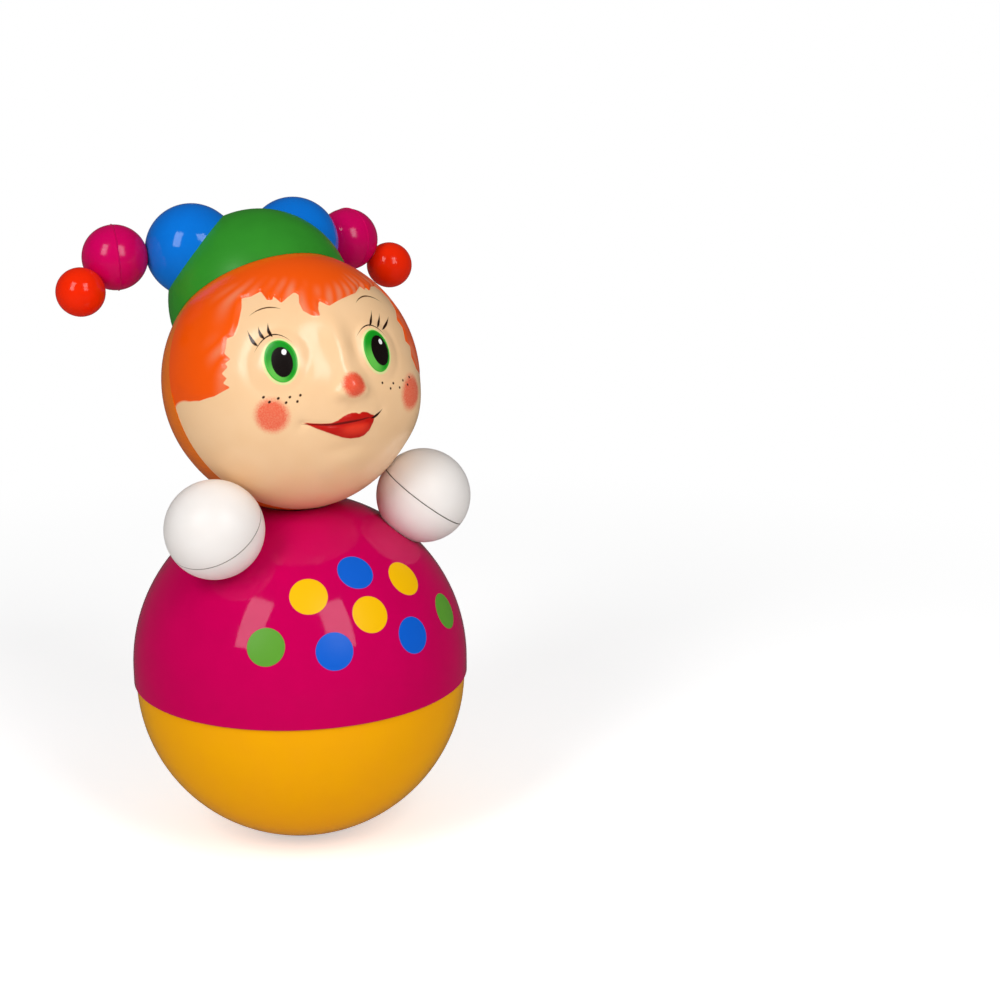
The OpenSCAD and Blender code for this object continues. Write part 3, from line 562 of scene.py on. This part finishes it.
# Paint on the face, in the same millimetres, seen from the front
facePaint = {
    "skin": "#FFD4A4",
    "skinDeep": "#FBCC98",
    "toneShare": 0.5,  # how much of the deeper skin the swells reach
    "roughness": 0.235,
    "roughSpread": 0.03,
    "gloss": 0.34,
    "hair": "#FF5A00",
    "hairSoftness": 0.1,  # mm
    # painted highlight: lighter paint along the locks, where their relief catches the light
    "paintedHairSheen": "#F58A62",
    "sheenMost": 0.9,  # share of the painted sheen on the locks
    "lip": "#C8140A",
    "lipSoftness": 0.12,  # mm
    # painted highlight: the lower lip painted lighter, the upper lip left in its shade
    "litLowerLip": "#F03A22",
    "mouth": "#780C08",
    "line": "#2A1208",
    "browLine": "#5A3A20",
    "blush": "#F2563A",
    "halo": "#EAE8A2",
    "irisRim": "#2CB02C",
    "iris": "#12981E",
    "irisLow": "#6CCB52",
    "pupil": "#140C0A",
    # painted highlight: the white glint in each eye
    "glint": "#FFFFFF",
    "freckle": "#3A2014",
    "freckleRadius": 0.42,
    "edge": 0.09,  # mm of softness at the edge of a brush stroke
    # centre, half sizes and lean in degrees of the oval layers of each eye
    "eyes": [
        {
            "iris": (-23.1, -8.1, 4.85, 7.3, -7),
            "pupil": (-22.95, -8.6, 3.15, 5.2, -4),
            "glint": (-21.8, -5.6, 0.75, 1.0, 0),
        },
        {
            "iris": (11.8, -10.1, 5.45, 7.3, 1),
            "pupil": (13.0, -10.1, 3.67, 5.3, -1),
            "glint": (14.0, -7.1, 0.75, 0.95, 0),
        },
    ],
    "haloWidth": 0.7,
    "irisRimWidth": 0.55,
    "glowInset": 0.3,  # mm that the pale glow in the iris keeps from its rim
    "glowShift": (0.45, 0.55),  # shares of the iris that the glow lies aside and below
    "glowFade": (1.0, 0.2, 0.85),  # where it starts, where it is full and how much
    # ends, bow to the left of the way from end to end, half width and how much thicker the first end is
    "strokes": [
        ((-29.7, -2.1), (-18.6, -3.0), 4.3, 0.28, 0.3),  # lids
        ((5.0, -4.7), (17.6, -4.9), 4.0, 0.28, -0.1),
        ((-28.3, -0.6), (-29.4, 6.5), 0.4, 0.43, 0.8),  # lashes
        ((-25.9, 1.0), (-26.3, 6.5), 0.35, 0.43, 0.8),
        ((-23.7, 0.8), (-23.3, 6.6), 0.4, 0.43, 0.8),
        ((11.2, -1.4), (15.1, 5.6), -0.4, 0.43, 0.8),
        ((14.6, -1.8), (18.6, 4.7), -0.4, 0.43, 0.8),
        ((16.9, -2.3), (23.4, 4.3), -0.4, 0.43, 0.8),
        ((6.6, -31.0), (12.2, -28.1), -0.4, 0.36, 0.5),  # end of the smile
    ],
    "brows": [
        ((-27.3, 11.6), (-18.0, 10.3), 1.7, 0.28, -0.2),
        ((9.3, 8.3), (23.1, 10.3), 2.6, 0.3, 0.1),
    ],
    "mouthStroke": ((-18.4, -28.4), (8.6, -30.2), -2.1, 0.28, 0.2),
    # oval and fade of the painted highlight on the lower lip
    "lowerLip": (0.6, -33.6, 7.6, 2.2, 0),
    "lowerLipFade": (1.1, 0.2, 0.9),
    # x, z, radius and height above the ball of the sprayed blushes
    "blushes": [
        (-27.7, -23.7, 6.9, 0.8), (27.4, -22.5, 7.4, 1.4),
        (-0.9, -21.6, 5.0, 2.4), (-0.9, -21.6, 4.6, 2.4),
    ],
    "blushFade": (0.62, 0.12, 0.95),
    "sprayDot": 0.5,  # mm
    "spraySpan": (0.3, 0.7),  # low and high of the spray's pattern
    "sprayLeast": 0.8,  # share of paint between the dots
    "sprayRagged": 0.5,  # how far the dots break the blush's edge
    "freckles": [
        (-29.5, -17.2), (-28.1, -19.4), (-25.5, -19.3), (-23.4, -21.4), (-22.1, -20.1), (-19.9, -22.1),
        (-18.8, -20.5), (12.4, -20.6), (16.0, -22.3), (17.5, -20.6), (20.5, -21.8), (22.5, -19.4),
        (24.9, -20.5), (26.4, -17.8),
    ],
}


def ovalReach(tree, flat, oval, grow=0.0):
    cx, cz, wide, tall, lean = oval
    local = addNode(tree, "Mapping", {"vector_type": "TEXTURE"}, {
        "Vector": flat, "Location": (cx, 0, cz), "Rotation": (0, math.radians(lean), 0),
        "Scale": (wide + grow, 1, tall + grow),
    })
    return addNode(tree, "VectorMath", {"operation": "LENGTH"}, {0: local.outputs[0]}).outputs["Value"]


def ovalMask(tree, flat, oval, grow=0.0):
    edge = facePaint["edge"] / oval[2]
    mask = addNode(tree, "MapRange", {}, {
        "Value": ovalReach(tree, flat, oval, grow), "From Min": 1 + edge, "From Max": 1 - edge,
    })
    return mask.outputs[0]


def strokeMask(tree, flat, stroke):
    (ax, az), (bx, bz), bow, width, lean = stroke
    half = math.hypot(bx - ax, bz - az) / 2
    turn = math.atan2(bz - az, bx - ax)
    apex = ((ax + bx) / 2 - bow * math.sin(turn), 0, (az + bz) / 2 + bow * math.cos(turn))
    local = addNode(tree, "Mapping", {"vector_type": "TEXTURE"}, {
        "Vector": flat, "Location": apex, "Rotation": (0, -turn, 0), "Scale": (half, 1, 1),
    })
    along, _, across = addNode(tree, "SeparateXYZ", {}, {0: local.outputs[0]}).outputs
    square = addNode(tree, "Math", {"operation": "MULTIPLY"}, {0: along, 1: along}).outputs[0]
    bent = addNode(tree, "Math", {"operation": "MULTIPLY_ADD"}, {0: square, 1: bow, 2: across}).outputs[0]
    away = addNode(tree, "Math", {"operation": "ABSOLUTE"}, {0: bent}).outputs[0]
    most = 1 + abs(lean)
    taper = addNode(tree, "Math", {"operation": "MULTIPLY_ADD"}, {
        0: square, 1: -width * most, 2: width * most,
    }).outputs[0]
    leaning = addNode(tree, "Math", {"operation": "MULTIPLY_ADD", "use_clamp": True}, {
        0: along, 1: -lean / most, 2: 1 / most,
    }).outputs[0]
    wide = addNode(tree, "Math", {"operation": "MULTIPLY"}, {0: taper, 1: leaning}).outputs[0]
    inside = addNode(tree, "Math", {"operation": "LESS_THAN"}, {0: square, 1: 1.0}).outputs[0]
    depth = addNode(tree, "Math", {"operation": "SUBTRACT"}, {0: wide, 1: away}).outputs[0]
    edge = facePaint["edge"]
    drawn = addNode(tree, "MapRange", {}, {"Value": depth, "From Min": -edge, "From Max": edge}).outputs[0]
    return addNode(tree, "Math", {"operation": "MULTIPLY"}, {0: drawn, 1: inside}).outputs[0]


def blushMasks(tree, local):
    spray = addNode(tree, "TexNoise", {}, {
        "Vector": local, "Scale": 1 / facePaint["sprayDot"], "Detail": 2.0,
    }).outputs[0]
    low, high = facePaint["spraySpan"]
    speckle = addNode(tree, "MapRange", {}, {
        "Value": spray, "From Min": low, "From Max": high, "To Min": facePaint["sprayLeast"], "To Max": 1.0,
    }).outputs[0]
    outer, inner, most = facePaint["blushFade"]
    masks = []
    for cx, cz, size, rise in facePaint["blushes"]:
        cy = -math.sqrt((doll["headRadius"] + rise) ** 2 - cx ** 2 - cz ** 2)
        puff = addNode(tree, "Mapping", {"vector_type": "TEXTURE"}, {
            "Vector": local, "Location": (cx, cy, cz), "Scale": (size, size, size),
        })
        reach = addNode(tree, "VectorMath", {"operation": "LENGTH"}, {0: puff.outputs[0]}).outputs["Value"]
        ragged = addNode(tree, "Math", {"operation": "MULTIPLY_ADD"}, {
            0: speckle, 1: -facePaint["sprayRagged"], 2: reach,
        }).outputs[0]
        cloud = addNode(tree, "MapRange", {"interpolation_type": "SMOOTHSTEP"}, {
            "Value": ragged, "From Min": outer, "From Max": inner, "To Max": most,
        }).outputs[0]
        masks.append(addNode(tree, "Math", {"operation": "MULTIPLY"}, {0: cloud, 1: speckle}).outputs[0])
    return masks


def irisGlow(tree, flat, iris):
    cx, cz, wide, tall, lean = iris
    aside, below = facePaint["glowShift"]
    outer, inner, most = facePaint["glowFade"]
    low = ovalReach(tree, flat, (cx - aside * wide, cz - below * tall, wide, tall, lean))
    glow = addNode(tree, "MapRange", {"interpolation_type": "SMOOTHSTEP"}, {
        "Value": low, "From Min": outer, "From Max": inner, "To Max": most,
    }).outputs[0]
    inside = ovalMask(tree, flat, iris, -facePaint["glowInset"])
    return addNode(tree, "Math", {"operation": "MULTIPLY"}, {0: inside, 1: glow}).outputs[0]


def lipMasks(tree, flat):
    lip = addNode(tree, "Attribute", {"attribute_name": "lipEdge"}).outputs["Fac"]
    soft = facePaint["lipSoftness"]
    whole = addNode(tree, "MapRange", {}, {"Value": lip, "From Min": -soft, "From Max": soft}).outputs[0]
    # painted highlight over the lower lip
    outer, inner, most = facePaint["lowerLipFade"]
    lower = addNode(tree, "MapRange", {"interpolation_type": "SMOOTHSTEP"}, {
        "Value": ovalReach(tree, flat, facePaint["lowerLip"]),
        "From Min": outer, "From Max": inner, "To Max": most,
    }).outputs[0]
    return whole, addNode(tree, "Math", {"operation": "MULTIPLY"}, {0: lower, 1: whole}).outputs[0]


def hairMasks(tree):
    hair = addNode(tree, "Attribute", {"attribute_name": "hairEdge"}).outputs["Fac"]
    soft = facePaint["hairSoftness"]
    whole = addNode(tree, "MapRange", {}, {"Value": hair, "From Min": -soft, "From Max": soft}).outputs[0]
    # painted sheen on the locks: lighter paint standing in for highlights on the relief
    lock = addNode(tree, "Attribute", {"attribute_name": "hairSheen"}).outputs["Fac"]
    streak = addNode(tree, "Math", {"operation": "MULTIPLY"}, {0: lock, 1: whole}).outputs[0]
    most = facePaint["sheenMost"]
    return whole, addNode(tree, "Math", {"operation": "MULTIPLY"}, {0: streak, 1: most}).outputs[0]


# Cream polyethylene, hand painted and lacquered: soft and waxy under a semi-gloss, with sprayed blushes
def facePaintMaterial():
    material, tree, shader, place = newMaterial("paintedPolyethylene")
    wave = addMouldedSurface(
        tree, shader, place, facePaint["roughness"], facePaint["roughSpread"], facePaint["gloss"],
    )
    local = addNode(tree, "Mapping", {"vector_type": "TEXTURE"}, {
        "Vector": place, "Location": headPlace.translation, "Rotation": headPlace.to_euler(),
        "Scale": (mm, mm, mm),
    }).outputs[0]
    flat = addNode(tree, "VectorMath", {"operation": "MULTIPLY"}, {0: local, 1: (1, 0, 1)}).outputs[0]
    layers = [(mask, "blush") for mask in blushMasks(tree, local)]
    for eye in facePaint["eyes"]:
        layers.append((ovalMask(tree, flat, eye["iris"], facePaint["haloWidth"]), "halo"))
        layers.append((ovalMask(tree, flat, eye["iris"]), "irisRim"))
        layers.append((ovalMask(tree, flat, eye["iris"], -facePaint["irisRimWidth"]), "iris"))
        layers.append((irisGlow(tree, flat, eye["iris"]), "irisLow"))
        layers.append((ovalMask(tree, flat, eye["pupil"]), "pupil"))
        # painted highlight in the eye
        layers.append((ovalMask(tree, flat, eye["glint"]), "glint"))
    for x, z in facePaint["freckles"]:
        dot = (x, z, facePaint["freckleRadius"], facePaint["freckleRadius"], 0)
        layers.append((ovalMask(tree, flat, dot), "freckle"))
    lips, lowerLip = lipMasks(tree, flat)
    layers.append((lips, "lip"))
    layers.append((lowerLip, "litLowerLip"))
    layers.append((strokeMask(tree, flat, facePaint["mouthStroke"]), "mouth"))
    for stroke in facePaint["strokes"]:
        layers.append((strokeMask(tree, flat, stroke), "line"))
    for stroke in facePaint["brows"]:
        layers.append((strokeMask(tree, flat, stroke), "browLine"))
    hair, lockSheen = hairMasks(tree)
    layers.append((hair, "hair"))
    layers.append((lockSheen, "paintedHairSheen"))
    colour = addTone(tree, wave, facePaint["toneShare"], facePaint["skin"], facePaint["skinDeep"])
    for mask, paint in layers:
        mix = addNode(tree, "Mix", {"data_type": "RGBA"}, {0: mask, 6: colour, 7: srgb(facePaint[paint])})
        colour = mix.outputs[2]
    tree.links.new(colour, shader.inputs["Base Color"])
    return material


faceMask.data.materials.clear()
faceMask.data.materials.append(facePaintMaterial())
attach(faceMask, "head")
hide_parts("head_front")
print("face painted")

# Studio: pale floor, a softbox on each side of the camera, and soft light from all round and above
studio = {
    "floorSize": 12.0,
    "floorColour": "#FAFAFA",
    "floorRoughness": 0.9,
    "plain": 1.0,  # how bright the white background is to the camera
    "floorGlow": 0.5,  # lifts the floor to white where no shadow lies
    "plainFrom": 0.2,  # metres from the doll to where the floor starts to fade to plain white
    "plainTo": 0.6,
    "ambient": 0.17,
    "overhead": 0.4,  # how bright the world lights the doll from above
    "mirrored": 0.08,  # how bright floor and backdrop are in reflections, matched to the doll's deep colours
    "ceiling": 0.04,  # how bright the room above the backdrop is there
    "backdropTop": 8,  # degrees up to which the backdrop reaches
    "ceilingFrom": 32,  # degrees from which the room is dim
    # degrees, metres and watts
    "softboxes": [
        {
            "name": "softboxLeft", "azimuth": -66, "elevation": 36,
            "width": 0.31, "height": 0.62, "power": 4.45,
        },
        {
            "name": "softboxRight", "azimuth": 3, "elevation": 35,
            "width": 0.33, "height": 0.6, "power": 4.45,
        },
    ],
    "softboxDistance": 1.05,
    "aim": (0, 0, 0.11),
}


def backgroundRays(tree):
    rays = addNode(tree, "LightPath").outputs
    seen = addNode(tree, "Math", {"operation": "MAXIMUM"}, {
        0: rays["Is Camera Ray"], 1: rays["Is Transmission Ray"],
    })
    return seen.outputs[0], rays["Is Glossy Ray"]


def makeFloor():
    bpy.ops.object.select_all(action="DESELECT")
    bpy.ops.mesh.primitive_plane_add(size=studio["floorSize"])
    floor = bpy.context.object
    floor.name = "floor"
    material, tree, shader, place = newMaterial("paleStudioFloor")
    away = addNode(tree, "VectorMath", {"operation": "LENGTH"}, {0: place}).outputs["Value"]
    fade = addNode(tree, "MapRange", {"interpolation_type": "SMOOTHSTEP"}, {
        "Value": away, "From Min": studio["plainFrom"], "From Max": studio["plainTo"],
    }).outputs[0]
    shader.inputs["Base Color"].default_value = srgb(studio["floorColour"])
    shader.inputs["Roughness"].default_value = studio["floorRoughness"]
    seen, mirrored = backgroundRays(tree)
    lift = addNode(tree, "Math", {"operation": "MULTIPLY"}, {0: seen, 1: studio["floorGlow"]})
    glow = addNode(tree, "Emission", {}, {"Color": (1, 1, 1, 1), "Strength": lift.outputs[0]})
    near = addNode(tree, "AddShader", {}, {0: shader.outputs[0], 1: glow.outputs[0]})
    plain = addNode(tree, "Emission", {}, {"Color": (1, 1, 1, 1), "Strength": studio["plain"]})
    far = addNode(tree, "Math", {"operation": "MULTIPLY"}, {0: fade, 1: seen})
    lit = addNode(tree, "MixShader", {}, {0: far.outputs[0], 1: near.outputs[0], 2: plain.outputs[0]})
    dim = addNode(tree, "Emission", {}, {"Color": (1, 1, 1, 1), "Strength": studio["mirrored"]})
    mix = addNode(tree, "MixShader", {}, {0: mirrored, 1: lit.outputs[0], 2: dim.outputs[0]})
    tree.links.new(mix.outputs[0], tree.nodes["Material Output"].inputs["Surface"])
    floor.data.materials.append(material)


def makeWorld():
    world = bpy.data.worlds.new("whiteStudio")
    bpy.context.scene.world = world
    world.use_nodes = True
    tree = world.node_tree
    tree.nodes.clear()
    way = addNode(tree, "TexCoord").outputs["Generated"]
    up = addNode(tree, "SeparateXYZ", {}, {0: way}).outputs["Z"]
    room = addNode(tree, "MapRange", {"interpolation_type": "SMOOTHSTEP"}, {
        "Value": up, "From Min": math.sin(math.radians(studio["backdropTop"])),
        "From Max": math.sin(math.radians(studio["ceilingFrom"])), "To Min": studio["mirrored"],
        "To Max": studio["ceiling"],
    }).outputs[0]
    above = addNode(tree, "MapRange", {"interpolation_type": "SMOOTHSTEP"}, {
        "Value": up, "From Min": math.sin(math.radians(studio["ceilingFrom"])), "To Min": studio["ambient"],
        "To Max": studio["overhead"],
    }).outputs[0]
    seen, mirrored = backgroundRays(tree)
    around = addNode(tree, "Mix", {}, {0: mirrored, 2: above, 3: room}).outputs[0]
    level = addNode(tree, "Mix", {}, {0: seen, 2: around, 3: studio["plain"]})
    light = addNode(tree, "Background", {}, {"Color": (1, 1, 1, 1), "Strength": level.outputs[0]})
    addNode(tree, "OutputWorld", {}, {"Surface": light.outputs[0]})


def makeSoftboxes():
    for box in studio["softboxes"]:
        way = wayTo(box["azimuth"], box["elevation"])
        lamp = bpy.data.lights.new(box["name"], "AREA")
        lamp.shape = "RECTANGLE"
        lamp.size = box["width"]
        lamp.size_y = box["height"]
        lamp.energy = box["power"]
        holder = bpy.data.objects.new(box["name"], lamp)
        bpy.context.scene.collection.objects.link(holder)
        holder.location = Vector(studio["aim"]) + way * studio["softboxDistance"]
        holder.rotation_euler = way.to_track_quat("Z", "Y").to_euler()


makeFloor()
makeWorld()
makeSoftboxes()
print("studio set")

# Camera, placed from the middle of the round body: degrees and metres, with lens and sensor in mm
shot = {
    "azimuth": -33.35,
    "elevation": 14.5,
    "roll": -0.32,
    "distance": 0.7176,
    "sideways": 0.07508,
    "upwards": 0.05943,
    "nearest": 0.01,
    "lens": 68.3,
    "sensor": 36.0,
}


def makeCamera():
    azimuth = math.radians(shot["azimuth"])
    roll = math.radians(shot["roll"])
    back = wayTo(shot["azimuth"], shot["elevation"])
    level = Vector((math.cos(azimuth), math.sin(azimuth), 0))
    right = level * math.cos(roll) + back.cross(level) * math.sin(roll)
    up = back.cross(right)
    lens = bpy.data.cameras.new("shot")
    lens.lens = shot["lens"]
    lens.sensor_width = shot["sensor"]
    lens.clip_start = shot["nearest"]
    camera = bpy.data.objects.new("shot", lens)
    bpy.context.scene.collection.objects.link(camera)
    middle = Vector((0, 0, bodyCentreZ * mm))
    camera.matrix_world = Matrix((right, up, back)).transposed().to_4x4()
    camera.location = middle + back * shot["distance"] + right * shot["sideways"] + up * shot["upwards"]
    bpy.context.scene.camera = camera


makeCamera()
bpy.context.scene.view_settings.view_transform = "Standard"
print("camera set")
